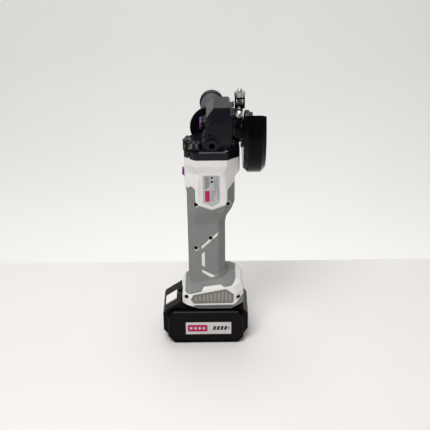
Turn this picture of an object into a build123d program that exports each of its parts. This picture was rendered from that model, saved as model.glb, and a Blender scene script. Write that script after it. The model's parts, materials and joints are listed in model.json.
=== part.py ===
from build123d import *
import math
import os

os.makedirs("parts", exist_ok=True)

# Cordless angle grinder standing on its battery.
# Motor axis = Z through the origin, spindle axis along +X, side handle along +Y.
# All lengths in millimetres.

# ---------------------------------------------------------------- driving dimensions
SPINDLE_Z = 328.5          # height of the spindle axis
COLLAR_Z = 291.4           # top of the plastic housing, foot of the gear case
COLLAR_T = 11.8            # thickness of the gear case collar
NOSE_Z = 359.5             # top of the gear case
RUBBER_T = 1.8             # overmoulded rubber
WALL_T = 2.6               # hard shell under the rubber
SEAM = 0.35                # gap round each white area

GUARD_R = 64.5             # outside radius of the guard
GUARD_X0 = 41.8            # gear-side face of the guard plate
GUARD_X1 = 71.0            # open edge of the guard
GUARD_FROM = 150.0         # start angle, measured from +Y towards +Z
GUARD_ARC = 199.0
SHEET_T = 2.0              # guard sheet
NECK_R = 21.7              # neck that carries the guard

HANDLE_X = 0.7             # axis of the M8 side handle sockets
HANDLE_Z = 310.0
BOSS_Y = 33.5              # face of the sockets
HANDLE_END_Y = 150.0

WHEEL_TEETH = 40
PINION_TEETH = 11
GEAR_MODULE = 1.0
FACE_WIDTH = 6.0

BATTERY_X0 = -66.6         # front panel of the pack
BATTERY_X1 = 43.8
BATTERY_Y = 37.5
BATTERY_SPLIT_Z = 44.0
PANEL_Z = 53.9
CELL_D = 18.4
CELL_L = 65.0

RUN_FIT = 0.06             # radial clearance of a running fit

# body outline, bottom to top, in three zones:
# height, tilt about Y, left, left corner, right corner, right, half depth, side half depth
GRIP_0 = (112.0, 0, -34.5, -24.5, 8.0, 18.0, 24.2, 14.0)
GRIP_1 = (190.0, 0, -34.5, -24.5, 8.0, 18.0, 24.2, 14.0)
FOOT = [
    (57.0, 0, -28.0, -21.0, 26.0, 33.0, 33.0, 26.0),
    (65.0, 0, -44.5, -35.5, 35.3, 44.3, 36.8, 27.5),
    (82.0, 6, -44.5, -34.5, 34.0, 44.0, 36.6, 26.4),
    (90.0, 9, -42.0, -32.0, 30.5, 40.5, 34.4, 24.0),
    (95.0, 11, -38.8, -28.8, 24.0, 34.0, 30.8, 20.5),
    (101.0, 11, -35.0, -25.0, 10.5, 20.5, 25.4, 15.2),
    GRIP_0,
]
MOTOR = [
    GRIP_1,
    (200.0, 0, -34.5, -24.0, 9.8, 20.2, 27.0, 16.0),
    (212.0, 0, -34.5, -22.8, 15.6, 27.0, 32.0, 18.6),
    (224.0, 0, -34.5, -21.4, 19.6, 31.2, 34.4, 20.0),
    (239.0, 0, -34.5, -21.2, 19.6, 31.2, 34.4, 20.0),
    (250.0, 0, -36.8, -20.6, 19.0, 31.2, 34.4, 20.2),
    (261.0, 0, -36.8, -18.6, 17.0, 31.2, 34.4, 20.4),
    (269.0, 0, -36.8, -17.0, 15.5, 37.8, 34.4, 20.8),
    (282.0, 0, -36.8, -22.0, 20.5, 37.8, 37.2, 23.0),
    (291.4, 0, -36.8, -22.0, 20.5, 37.8, 37.2, 23.0),
]
CORNER_R = 5.0

# housing screws: X, Z and how far each head's seat lies from the split
HOUSING_SCREWS = [
    (-22.0, 224.5, 29.5), (22.0, 224.8, 29.5), (-2.4, 167.4, 19.5), (-23.2, 151.4, 19.0),
    (-38.0, 77.8, 31.0), (36.0, 77.5, 31.0),
]
GEAR_CASE_SCREWS = [(-31.0, -13.0), (-31.0, 13.0), (19.5, -31.5), (19.5, 31.5)]
BOX_SCREWS = [(sy * 21.0, SPINDLE_Z + sz * 20.5) for sy in (-1, 1) for sz in (-1, 1)]

AXIS_SPINDLE = Axis((0, 0, SPINDLE_Z), (1, 0, 0))


def save(part, label):
    """Name a finished piece and write its file."""
    part.label = label
    export_step(part, "parts/" + label + ".step")


def side_plane(y=0.0):
    """Sketch plane with X to the right and Z up; its normal is -Y."""
    return Plane(origin=(0, y, 0), x_dir=(1, 0, 0), z_dir=(0, -1, 0))


def spindle_plane(x):
    """Plane across the spindle axis at X = x; local x is +Y, local y is +Z."""
    return Plane(origin=(x, 0, SPINDLE_Z), x_dir=(0, 1, 0), z_dir=(1, 0, 0))


def outline(section, inset, half_only=False):
    """A cross-section of the body with rounded corners, moved inwards by inset."""
    z, tilt, x0, xl, xr, x1, yh, yc = section
    t = math.radians(tilt)
    plane = Plane(
        origin=(0, 0, z),
        x_dir=(math.cos(t), 0, math.sin(t)),
        z_dir=(-math.sin(t), 0, math.cos(t)),
    )
    k = 0.41 * inset
    left, right, half, side = x0 + inset, x1 - inset, yh - inset, yc - k
    near = [(left, -side), (xl + k, -half), (xr - k, -half), (right, -side)]
    far = [(right, 0), (left, 0)] if half_only else [(x, -y) for x, y in reversed(near)]
    with BuildSketch(plane) as sketch:
        with BuildLine():
            Polyline(*near, *far, close=True)
        make_face()
        round_ones = [v for v in sketch.vertices() if not half_only or abs(v.Y) > 1]
        fillet(round_ones, max(CORNER_R - inset, 1.0))
    return sketch.sketch.face()


def zone(sections, inset):
    """The right-hand half of one zone of the body, moved inwards by inset."""
    faces = [outline(section, inset, half_only=True) for section in sections]
    with BuildPart() as solid:
        loft(faces, ruled=True)
    return solid.part


def prism(points, y=0.0, length=45.0, grow=0.0):
    """A polygon in X and Z, carried from Y = y towards -Y."""
    with BuildPart() as solid:
        with BuildSketch(side_plane(y)):
            with BuildLine():
                Polyline(*points, close=True)
            make_face()
            if grow:
                offset(amount=grow, kind=Kind.INTERSECTION)
        extrude(amount=length)
    return solid.part


def block(x0, x1, y0, y1, z0, z1):
    """A plain block between two corners."""
    with BuildPart() as solid:
        with Locations(((x0 + x1) / 2, (y0 + y1) / 2, (z0 + z1) / 2)):
            Box(x1 - x0, y1 - y0, z1 - z0)
    return solid.part


def rod(plane, radius, length):
    """A cylinder that starts on a plane and runs along its normal."""
    with BuildPart() as solid:
        with BuildSketch(plane):
            Circle(radius)
        extrude(amount=length)
    return solid.part


def ring(plane, outer, inner, length, edge=0.0):
    """A tube that starts on a plane and runs along its normal."""
    with BuildPart() as solid:
        with BuildSketch(plane):
            Circle(outer)
            Circle(inner, mode=Mode.SUBTRACT)
        extrude(amount=length)
        if edge:
            chamfer(solid.edges().filter_by(GeomType.CIRCLE), edge)
    return solid.part


def hexagon(plane, across_flats, bore, length):
    """A hexagon nut that starts on a plane and runs along its normal."""
    with BuildPart() as solid:
        with BuildSketch(plane):
            RegularPolygon(across_flats / 2, 6, major_radius=False)
            Circle(bore, mode=Mode.SUBTRACT)
        extrude(amount=length)
    return solid.part


def pan_screw(plane, head_r, head_h, shank_r, shank_l):
    """A cross-head screw: the plane is under the head and its normal points out of the head."""
    with BuildPart() as solid:
        with BuildSketch(plane):
            Circle(head_r)
        extrude(amount=head_h)
        fillet(solid.edges().filter_by(GeomType.CIRCLE).sort_by_distance(plane.origin)[-1], head_h * 0.55)
        with BuildSketch(plane.offset(head_h)):
            Rectangle(head_r * 1.15, head_r * 0.26)
            Rectangle(head_r * 0.26, head_r * 1.15)
        extrude(amount=-head_h * 0.55, mode=Mode.SUBTRACT)
        with BuildSketch(plane):
            Circle(shank_r)
        extrude(amount=-shank_l)
    return solid.part


def helix_spring(plane, radius, wire, length, turns):
    """A compression spring that stands on a plane, its closed ends left plain."""
    pitch = (length - 2 * wire) / turns
    coil = plane.offset(wire) * Helix(pitch=pitch, height=length - 2 * wire, radius=radius)
    start = coil @ 0
    section = Plane(origin=start, x_dir=plane.z_dir, z_dir=coil % 0)
    with BuildPart() as solid:
        with BuildSketch(section):
            Circle(wire)
        sweep(path=coil)
    return solid.part


# ---------------------------------------------------------------- housing and overmould
# White areas of the shell, in X and Z, the same on both sides.
MOTOR_WHITE = [
    (-60, 300), (-60, 245.5), (-32.5, 245.5), (-28.3, 250.3), (-23.0, 247.0), (-22.6, 228.5),
    (-17.8, 223.4), (0.4, 215.8), (18.1, 223.9), (21.2, 228.5), (21.3, 245.5), (30.2, 253.5),
    (60, 254.5), (60, 300),
]
STRIPES = [
    [(8.0, 177.6), (8.0, 172.6), (-15.6, 150.2), (-15.6, 155.3)],
    [(-15.6, 142.6), (-10.8, 146.6), (-10.8, 121.0), (-15.6, 124.2)],
    [(-15.6, 117.4), (4.6, 106.6), (-2.5, 104.2), (-15.4, 112.8)],
]
FOOT_GREY_CAP = [
    (-39.9, 125), (-39.9, 82.4), (-38.0, 81.6), (-16.8, 86.6), (-13.5, 92.5), (10.6, 96.5),
    (16.1, 93.4), (25.0, 95.0), (30.0, 98.0), (33.0, 102.0), (33.0, 125),
]
FOOT_GREY_CHIN = [
    (-26.5, 50), (-27.8, 65.2), (29.4, 65.7), (32.7, 68.3), (38.7, 74.1), (47, 82), (60, 82), (60, 50),
]
FOOT_WHITE = [(-60, 50), (60, 50), (60, 103), (-60, 103)]
INTAKE = [
    (-32.2, 74.1), (-28.3, 81.7), (18.8, 90.9), (29.8, 83.2), (29.9, 70.9), (27.8, 67.0), (-27.4, 66.3),
]
PLATE = [(-12.0, 268.7), (11.0, 268.7), (10.8, 227.2), (0.4, 222.0), (-12.0, 227.8)]

FOOT_FLOOR_Z = 73.0        # top of the solid part of the foot
RAIL_NECK_Y = 15.0         # the pack's rail: half widths of its neck and head
RAIL_HEAD_Y = 19.7
RAIL_STEP_Z = 61.8
RAIL_TOP_Z = 69.7
RAIL_X0 = -35.0
RAIL_X1 = 28.0
SLIDE_FIT = 0.3            # clearance of the pack in its rails
HOOK_X0 = -40.9            # the pack's latch hook
HOOK_X1 = -36.6
HOOK_Y = 4.0
HOOK_TOP_Z = 72.9

STATOR_R = 25.0
STATOR_Z0 = 233.0
STATOR_Z1 = 261.0
ROTOR_R = 12.5
REAR_BEARING_Z = 213.0
SMALL_BEARING = (11.0, 4.0, 7.0)      # outside radius, bore radius, width
SPINDLE_BEARING = (16.0, 6.0, 10.0)
SCREW_R = 1.9
HEAD_R = 3.0
BOSS_R = 3.8
CASE_SCREW_BOSS_R = 3.6
BAFFLE_Z = 283.3
GRILLE_Y = -33.4
GRILLE_T = 1.2
PLATE_Y = -33.6
PLATE_T = 0.5
PLATE_FRAME_T = 1.4        # raised frame round the rating plate, from the plate's own plane


def white_areas(areas, grow):
    """Prisms over white areas of the right-hand side, each area larger by grow."""
    return [prism(points, grow=grow) for points in areas]


def foot_white(grow):
    """Prism over the white part of the foot: all but the grey cap and chin, and the lowest stripe."""
    with BuildPart() as area:
        add(prism(FOOT_WHITE))
        add([prism(FOOT_GREY_CAP, grow=-grow), prism(FOOT_GREY_CHIN, grow=-grow)], mode=Mode.SUBTRACT)
        add(prism(STRIPES[2], grow=grow))
    return [area.part]


def pack_channel():
    """Cutters for the pack's rails and the run of the latch hook, open towards -X."""
    step = RAIL_STEP_Z - SLIDE_FIT
    roof = RAIL_TOP_Z + SLIDE_FIT
    neck = RAIL_NECK_Y + SLIDE_FIT
    head = RAIL_HEAD_Y + SLIDE_FIT
    end = RAIL_X1 + SLIDE_FIT
    return [
        block(-60, end, -neck, 1, 50, step + 1),
        block(-60, end, -head, 1, step, roof),
        block(-60, HOOK_X1 + 0.5, -HOOK_Y - 0.5, 1, roof - 1, HOOK_TOP_Z + 0.5),
    ]


def skin_parts(sections, areas, intake=False):
    """White pads and rubber of one zone, both lying on the hard shell."""
    with BuildPart() as skin:
        add(zone(sections, 0))
        add(zone(sections, RUBBER_T), mode=Mode.SUBTRACT)
        if intake:
            add([prism(INTAKE)] + pack_channel(), mode=Mode.SUBTRACT)
    with BuildPart() as pads:
        add(skin.part)
        add(areas(-SEAM / 2), mode=Mode.INTERSECT)
    with BuildPart() as rubber:
        add(skin.part)
        cutters = [across(x, z, 4.7, 0, 50) for x, z, seat in HOUSING_SCREWS]
        if intake:
            cutters.append(prism(INTAKE, grow=0.8))
        add(areas(SEAM / 2) + cutters, mode=Mode.SUBTRACT)
    return pads.part, rubber.part


def across(x, z, radius, y, length):
    """A cylinder parallel to Y from Y = y towards -Y."""
    return rod(Plane(origin=(x, y, z), x_dir=(1, 0, 0), z_dir=(0, -1, 0)), radius, length)


def foot_shell():
    """Right-hand half of the hard foot, with the pack's rails and the intake opening."""
    with BuildPart() as room:
        add(zone(FOOT, RUBBER_T + WALL_T))
        add(block(-60, 60, -60, 1, 0, FOOT_FLOOR_Z), mode=Mode.SUBTRACT)
    with BuildPart() as shell:
        add(zone(FOOT, RUBBER_T))
        add(room.part, mode=Mode.SUBTRACT)
        add([across(x, z, BOSS_R, 0, seat + 2) for x, z, seat in HOUSING_SCREWS if z < 100])
        add(
            pack_channel()
            + [
                block(-20, 20, -12, 1, RAIL_TOP_Z - 1, FOOT_FLOOR_Z + 1),
                prism(INTAKE, y=GRILLE_Y, length=20),
                prism(INTAKE, y=-24, length=20, grow=-1.8),
            ],
            mode=Mode.SUBTRACT,
        )
    return shell.part


def grip_shell():
    """Right-hand half of the hard grip tube."""
    with BuildPart() as shell:
        add(zone([GRIP_0, GRIP_1], RUBBER_T))
        add(zone([GRIP_0, GRIP_1], RUBBER_T + WALL_T), mode=Mode.SUBTRACT)
        add([across(x, z, BOSS_R, 0, seat + 2) for x, z, seat in HOUSING_SCREWS if 100 < z < 200])
    return shell.part


def motor_shell():
    """Right-hand half of the hard motor housing, with its seats and bosses."""
    with BuildPart() as seats:
        slabs = [
            (REAR_BEARING_Z - 2, REAR_BEARING_Z + 9),
            (STATOR_Z0 + 1, STATOR_Z0 + 4),
            (STATOR_Z1 - 4, STATOR_Z1 - 1),
        ]
        add([block(-60, 60, -45, 0, z0, z1) for z0, z1 in slabs])
        add([rod(Plane(origin=(x, y, 266)), CASE_SCREW_BOSS_R, 26) for x, y in GEAR_CASE_SCREWS if y < 0])
        add(zone(MOTOR, RUBBER_T + 0.4), mode=Mode.INTERSECT)
        add(rod(Plane.XY.offset(STATOR_Z0 - 4), STATOR_R, 40), mode=Mode.SUBTRACT)
        add(block(-34, -26, -9, 1, 180, 279), mode=Mode.SUBTRACT)
    with BuildPart() as shell:
        add(zone(MOTOR, RUBBER_T))
        add(zone(MOTOR, RUBBER_T + WALL_T), mode=Mode.SUBTRACT)
        add([seats.part] + [across(x, z, BOSS_R, 0, seat + 1) for x, z, seat in HOUSING_SCREWS if z > 200])
        add(
            [
                rod(Plane.XY.offset(REAR_BEARING_Z), SMALL_BEARING[0], 10),
                rod(Plane.XY.offset(REAR_BEARING_Z - 4), 6, 6),
            ],
            mode=Mode.SUBTRACT,
        )
    return shell.part


def case_screw_holes():
    """Tapped holes for the gear case screws on the right-hand side."""
    return [rod(Plane(origin=(x, y, COLLAR_Z - 18)), SCREW_R, 20) for x, y in GEAR_CASE_SCREWS if y < 0]


foot_pads, foot_rubber = skin_parts(FOOT, foot_white, intake=True)
grip_pads, grip_rubber = skin_parts([GRIP_0, GRIP_1], lambda grow: white_areas(STRIPES, grow))
motor_pads, motor_rubber = skin_parts(MOTOR, lambda grow: white_areas([MOTOR_WHITE], grow))

with BuildPart() as half_shell:
    add(grip_shell())
    add([foot_shell(), motor_shell(), foot_pads, grip_pads, motor_pads])
    add(case_screw_holes() + [block(-45, -28, -4.4, 1, 248, 273)], mode=Mode.SUBTRACT)

with BuildPart() as housing_right:
    add(half_shell.part)
    add(prism(PLATE, y=PLATE_Y + 1, length=PLATE_FRAME_T + 1, grow=3.2))
    recesses = [across(x, z, SCREW_R, 1, 40) for x, z, seat in HOUSING_SCREWS]
    recesses += [across(x, z, HEAD_R + 0.2, -seat, 20) for x, z, seat in HOUSING_SCREWS]
    recesses.append(prism(PLATE, y=PLATE_Y, length=10, grow=0.1))
    recesses += [block(-18.6, -14.6, -45, PLATE_Y, 229.5 + 3.9 * n, 231.2 + 3.9 * n) for n in range(9)]
    add(recesses, mode=Mode.SUBTRACT)
save(housing_right.part, "housing_right")

with BuildPart() as housing_left:
    add(half_shell.part.mirror(Plane.XZ))
    add([across(x, z, SCREW_R, 14, 16) for x, z, seat in HOUSING_SCREWS], mode=Mode.SUBTRACT)
save(housing_left.part, "housing_left")

with BuildPart() as overmold_right:
    add([grip_rubber, foot_rubber, motor_rubber])
save(overmold_right.part, "overmold_right")

with BuildPart() as overmold_left:
    add(overmold_right.part.mirror(Plane.XZ))
save(overmold_left.part, "overmold_left")

with BuildPart() as housing_screws:
    for x, z, seat in HOUSING_SCREWS:
        seat_plane = Plane(origin=(x, -seat, z), x_dir=(1, 0, 0), z_dir=(0, -1, 0))
        add(pan_screw(seat_plane, HEAD_R, 2.6, SCREW_R, seat + 12))
save(housing_screws.part, "housing_screws")


def intake_grille():
    """Ribbed grille of the right-hand side."""
    with BuildPart() as grille:
        with BuildSketch(side_plane(GRILLE_Y)):
            with BuildLine():
                Polyline(*INTAKE, close=True)
            make_face()
            offset(amount=-0.12, kind=Kind.INTERSECTION)
        extrude(amount=GRILLE_T)
        with BuildSketch(side_plane(GRILLE_Y)):
            with BuildLine():
                Polyline(*INTAKE, close=True)
            make_face()
            offset(amount=-3.4, kind=Kind.INTERSECTION)
            with Locations((0, 77)):
                with GridLocations(5.4, 1, 13, 1):
                    Rectangle(2.6, 60, mode=Mode.SUBTRACT)
        extrude(amount=GRILLE_T, mode=Mode.SUBTRACT)
    return grille.part


with BuildPart() as intake_grille_right:
    add(intake_grille())
save(intake_grille_right.part, "intake_grille_right")

with BuildPart() as intake_grille_left:
    add(intake_grille().mirror(Plane.XZ))
save(intake_grille_left.part, "intake_grille_left")

with BuildPart() as rating_plate:
    with BuildSketch(side_plane(PLATE_Y)):
        with BuildLine():
            Polyline(*PLATE, close=True)
        make_face()
    extrude(amount=PLATE_T)
save(rating_plate.part, "rating_plate")

# ---------------------------------------------------------------- gear case and bearing box
LOCK_Y = -9.5              # lock pin, parallel to the spindle
LOCK_Z = 334.0
LOCK_PIN_R = 2.0
LOCK_HOLES = 12
CHAMBER_R = 22.6
CHAMBER_X = 3.2
HEAD_X1 = 25.6             # face that carries the bearing box
BUSH_R = 7.0
SPINDLE_R = 6.0            # wheel and bearing seat
JOURNAL_R = 4.0            # rear end of the spindle, in the bush
SPINDLE_BEARING_X = 26.6
FLANGE_X = 44.0            # seat of the inner flange
SPINDLE_END_X = 62.0
THREAD_R = 7.0             # M14
HANDLE_R = 4.0             # M8

HEAD_SIDE = [
    (-14, 303), (-10, 316), (-6, 347), (3.5, NOSE_Z), (23.5, NOSE_Z), (HEAD_X1, 356.5), (HEAD_X1, 303),
]
HEAD_PLAN = [(-20, -14), (2, -30), (40, -30), (40, 30), (2, 30), (-20, 14)]
HEAD_RIDGE = [(-8, 318), (2, 331), (14, 341), (18, 354), (13.5, 354), (10, 344.5), (-3, 336), (-12, 322)]


def head_end_view(grow):
    """The head seen along the spindle, carried along X."""
    half = [(27.0, 303), (28.4, 318), (27.0, 340), (24.4, 352), (22.6, NOSE_Z)]
    right = [(y + grow, z) for y, z in half]
    left = [(-y, z) for y, z in reversed(right)]
    with BuildPart() as solid:
        with BuildSketch(Plane(origin=(-40, 0, 0), x_dir=(0, 1, 0), z_dir=(1, 0, 0))):
            with BuildLine():
                Polyline(*right, *left, close=True)
            make_face()
        extrude(amount=80)
    return solid.part


def along_spindle(y, z, x, radius, length):
    """A cylinder parallel to the spindle from X = x towards +X."""
    return rod(Plane(origin=(x, y, z), x_dir=(0, 1, 0), z_dir=(1, 0, 0)), radius, length)


def collar_prism(inset, z0, length):
    """The outline of the housing's top, carried upwards."""
    section = (z0,) + MOTOR[-1][1:]
    with BuildPart() as solid:
        add(extrude(outline(section, inset), amount=length))
    return solid.part


def hood(side):
    """Exhaust hood on one corner of the collar."""
    top = COLLAR_Z + COLLAR_T
    points = [(-35.6, 20), (-36.0, 25), (-25.0, 35.6), (-14.5, 35.6), (-11, 20)]
    with BuildPart() as solid:
        with BuildSketch(Plane.XY.offset(top - 1)):
            with BuildLine():
                Polyline(*[(x, side * y) for x, y in points], close=True)
            make_face()
        extrude(amount=11, taper=14)
    return solid.part


def hood_openings(side):
    """Duct, two upright slots and the low window of one hood."""
    y0, y1 = sorted((side * 23.5, side * 30.5))
    s0, s1 = sorted((side * 24, side * 45))
    return [
        block(-31, -17, y0, y1, COLLAR_Z - 1, 310.5),
        block(-28.4, -25.4, s0, s1, 305.8, 316),
        block(-21.2, -18.2, s0, s1, 305.8, 316),
        block(-32.5, -16.5, s0, s1, 301.0, 304.6),
    ]


with BuildPart() as head:
    add(prism(HEAD_SIDE, y=40, length=80))
    with BuildSketch(Plane.XY.offset(303)):
        with BuildLine():
            Polyline(*HEAD_PLAN, close=True)
        make_face()
    extrude(amount=60, mode=Mode.INTERSECT)
    add(head_end_view(0), mode=Mode.INTERSECT)

with BuildPart() as ridge:
    add(prism(HEAD_RIDGE, y=40, length=80))
    add(head_end_view(1.5), mode=Mode.INTERSECT)
    add(block(-20, 26, -26, 26, 300, 362), mode=Mode.SUBTRACT)

with BuildPart() as gear_case:
    add(collar_prism(0.0, COLLAR_Z, COLLAR_T))
    chamfer(gear_case.faces().sort_by(Axis.Z)[-1].edges(), 1.4)
    with BuildPart() as spigot:
        add(collar_prism(RUBBER_T + WALL_T + 0.8, COLLAR_Z - 6, 6))
        add(collar_prism(RUBBER_T + WALL_T + 3.0, COLLAR_Z - 6, 6), mode=Mode.SUBTRACT)
        add(
            [
                rod(Plane(origin=(x, y, COLLAR_Z - 8)), CASE_SCREW_BOSS_R + 0.3, 8)
                for x, y in GEAR_CASE_SCREWS
            ],
            mode=Mode.SUBTRACT,
        )
        add(block(-45, -26, -10, 10, 280, 290), mode=Mode.SUBTRACT)
    bosses = [across(HANDLE_X, HANDLE_Z, 8.75, BOSS_Y, BOSS_Y - 20)]
    bosses.append(across(HANDLE_X, HANDLE_Z, 8.75, -20, BOSS_Y - 20))
    arches = [across(HANDLE_X, HANDLE_Z, 12.6, 29.6, 5), across(HANDLE_X, HANDLE_Z, 12.6, -24.6, 5)]
    lug = rod(Plane(origin=(-34.2, 0, COLLAR_Z + 1)), 4.6, 15)
    lock_boss = along_spindle(LOCK_Y, LOCK_Z, -8.6, 10.4, 7)
    add([spigot.part, head.part, ridge.part, hood(1), hood(-1), lug, lock_boss] + arches + bosses)
    case_cutters = [
        along_spindle(0, SPINDLE_Z, CHAMBER_X, CHAMBER_R, 40),
        rod(Plane.XY.offset(297), 7.4, 21),
        rod(Plane.XY.offset(COLLAR_Z - 8), SMALL_BEARING[0], 8 + SMALL_BEARING[2]),
        along_spindle(0, SPINDLE_Z, -4.0, BUSH_R, 10),
        along_spindle(LOCK_Y, LOCK_Z, -5.2, LOCK_PIN_R + RUN_FIT, 10),
        across(HANDLE_X, HANDLE_Z, HANDLE_R, BOSS_Y + 1, 16),
        across(HANDLE_X, HANDLE_Z, HANDLE_R, -BOSS_Y + 15, 16),
    ]
    case_cutters += hood_openings(1) + hood_openings(-1)
    case_cutters += [rod(Plane(origin=(x, y, 280)), 2.1, 40) for x, y in GEAR_CASE_SCREWS]
    case_cutters += [
        rod(Plane(origin=(x, y, COLLAR_Z + COLLAR_T - 3)), 3.8, 30) for x, y in GEAR_CASE_SCREWS
    ]
    case_cutters += [along_spindle(y, z, 13.0, SCREW_R, 20) for y, z in BOX_SCREWS]
    add(case_cutters, mode=Mode.SUBTRACT)
    # pocket round the lock button, with the guide boss left standing in it
    with BuildPart() as pocket:
        add(along_spindle(LOCK_Y, LOCK_Z, -30, 8.75, 25))
        add(along_spindle(LOCK_Y, LOCK_Z, -8.4, 5.9, 10), mode=Mode.SUBTRACT)
        add(along_spindle(LOCK_Y, LOCK_Z, -12, 4.2, 6.8))
    add(pocket.part, mode=Mode.SUBTRACT)
save(gear_case.part, "gear_case")

with BuildPart() as gear_case_screws:
    for x, y in GEAR_CASE_SCREWS:
        seat_plane = Plane(origin=(x, y, COLLAR_Z + COLLAR_T - 3))
        add(pan_screw(seat_plane, 3.5, 2.8, SCREW_R, COLLAR_T + 12))
save(gear_case_screws.part, "gear_case_screws")

with BuildPart() as fan_baffle:
    add(collar_prism(RUBBER_T + WALL_T + 0.15, BAFFLE_Z, 1.8))
    notches = [rod(Plane(origin=(x, y, 280)), CASE_SCREW_BOSS_R + 0.3, 8) for x, y in GEAR_CASE_SCREWS]
    notches.append(rod(Plane.XY.offset(280), 15, 8))
    notches.append(block(-45, -29.8, -10, 10, 280, 290))
    add(notches, mode=Mode.SUBTRACT)
save(fan_baffle.part, "fan_baffle")

with BuildPart() as bearing_box:
    with BuildSketch(spindle_plane(HEAD_X1)):
        RectangleRounded(50.5, 49.6, 7)
    extrude(amount=3)
    chamfer(bearing_box.faces().sort_by(Axis.X)[-1].edges(), 0.8)
    with BuildSketch(spindle_plane(HEAD_X1 - 2)):
        Circle(CHAMBER_R - 0.02)
    extrude(amount=2)
    with BuildSketch(spindle_plane(HEAD_X1 + 3)):
        Circle(NECK_R)
    extrude(amount=42 - HEAD_X1 - 3)
    box_cutters = [
        along_spindle(0, SPINDLE_Z, 20, SPINDLE_BEARING[0], SPINDLE_BEARING_X + SPINDLE_BEARING[2] - 20),
        along_spindle(0, SPINDLE_Z, 20, 10.5, 30),
    ]
    box_cutters += [along_spindle(y, z, 20, SCREW_R, 20) for y, z in BOX_SCREWS]
    add(box_cutters, mode=Mode.SUBTRACT)
save(bearing_box.part, "bearing_box")

with BuildPart() as bearing_box_screws:
    for y, z in BOX_SCREWS:
        seat_plane = Plane(origin=(HEAD_X1 + 3, y, z), x_dir=(0, 1, 0), z_dir=(1, 0, 0))
        add(pan_screw(seat_plane, 4.2, 2.6, SCREW_R, 14))
save(bearing_box_screws.part, "bearing_box_screws")


# ---------------------------------------------------------------- bearings
def outer_ring(plane, size):
    """Outer ring of a ball bearing with its two shields."""
    outside, bore, width = size
    gap = (outside - bore) * 0.3
    with BuildPart() as solid:
        add(ring(plane, outside, outside - gap, width))
        add(ring(plane.offset(0.4), outside - gap, bore + gap + 0.15, 0.6))
        add(ring(plane.offset(width - 1.0), outside - gap, bore + gap + 0.15, 0.6))
    return solid.part


def inner_ring(plane, size):
    """Inner ring of a ball bearing."""
    outside, bore, width = size
    return ring(plane, bore + (outside - bore) * 0.3, bore, width)


REAR_BEARING_PLANE = Plane.XY.offset(REAR_BEARING_Z)
FRONT_BEARING_PLANE = Plane.XY.offset(COLLAR_Z)
SPINDLE_BEARING_PLANE = spindle_plane(SPINDLE_BEARING_X)

with BuildPart() as rear_bearing_outer:
    add(outer_ring(REAR_BEARING_PLANE, SMALL_BEARING))
save(rear_bearing_outer.part, "rear_bearing_outer")

with BuildPart() as rear_bearing_inner:
    add(inner_ring(REAR_BEARING_PLANE, SMALL_BEARING))
save(rear_bearing_inner.part, "rear_bearing_inner")

with BuildPart() as front_bearing_outer:
    add(outer_ring(FRONT_BEARING_PLANE, SMALL_BEARING))
save(front_bearing_outer.part, "front_bearing_outer")

with BuildPart() as front_bearing_inner:
    add(inner_ring(FRONT_BEARING_PLANE, SMALL_BEARING))
save(front_bearing_inner.part, "front_bearing_inner")

with BuildPart() as spindle_bearing_outer:
    add(outer_ring(SPINDLE_BEARING_PLANE, SPINDLE_BEARING))
save(spindle_bearing_outer.part, "spindle_bearing_outer")

with BuildPart() as spindle_bearing_inner:
    add(inner_ring(SPINDLE_BEARING_PLANE, SPINDLE_BEARING))
save(spindle_bearing_inner.part, "spindle_bearing_inner")

with BuildPart() as spindle_bush:
    add(ring(spindle_plane(-4.0), BUSH_R, JOURNAL_R + RUN_FIT, 5.6))
save(spindle_bush.part, "spindle_bush")


# ---------------------------------------------------------------- spindle and its wheel
def turned(points, plane, axis):
    """A turned piece: (station, radius) points revolved about an axis."""
    with BuildPart() as solid:
        with BuildSketch(plane):
            with BuildLine():
                Polyline(*points, close=True)
            make_face()
        revolve(axis=axis)
    return solid.part


SPINDLE_SECTION = Plane(origin=(0, 0, SPINDLE_Z), x_dir=(1, 0, 0), z_dir=(0, -1, 0))
thread = []
for turn in range(8):
    x = 45.0 + 2.0 * turn
    thread += [(x, THREAD_R - 1.1), (x + 0.9, THREAD_R), (x + 1.1, THREAD_R)]
spindle_points = [(-3.4, 0), (-3.4, 3.4), (-2.8, JOURNAL_R), (1.8, JOURNAL_R), (1.8, SPINDLE_R)]
spindle_points += [(SPINDLE_BEARING_X + 10, SPINDLE_R), (SPINDLE_BEARING_X + 10, 8.5), (FLANGE_X, 8.5)]
spindle_points += [(FLANGE_X, THREAD_R - 1.1)] + thread
spindle_points += [(61.0, THREAD_R - 1.1), (SPINDLE_END_X, THREAD_R - 2), (SPINDLE_END_X, 0)]

with BuildPart() as spindle:
    add(turned(spindle_points, SPINDLE_SECTION, AXIS_SPINDLE))
save(spindle.part, "spindle")

WHEEL_R = GEAR_MODULE * WHEEL_TEETH / 2
PINION_R = GEAR_MODULE * PINION_TEETH / 2
INNER_SHARE = 1 - FACE_WIDTH / WHEEL_R      # size of the teeth at their inner ends


def tooth_section(plane, root, root_half, tip, tip_half):
    """A tooth's trapezoid; local x points from root to tip."""
    with BuildSketch(plane) as sketch:
        with BuildLine():
            Polyline((root, -root_half), (tip, -tip_half), (tip, tip_half), (root, root_half), close=True)
        make_face()
    return sketch.sketch.face()


def wheel_tooth():
    """One tooth of the wheel, pointing along +Y from the spindle axis and rising towards -X."""
    faces = []
    for share in (INNER_SHARE * 0.995, 1.005):
        centre = (PINION_R * share, WHEEL_R * share, SPINDLE_Z)
        plane = Plane(origin=centre, x_dir=(-1, 0, 0), z_dir=(0, 1, 0))
        faces.append(tooth_section(plane, -2.3 * share, 1.0 * share, 0.7 * share, 0.32 * share))
    with BuildPart() as tooth:
        loft(faces, ruled=True)
    return tooth.part


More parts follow.
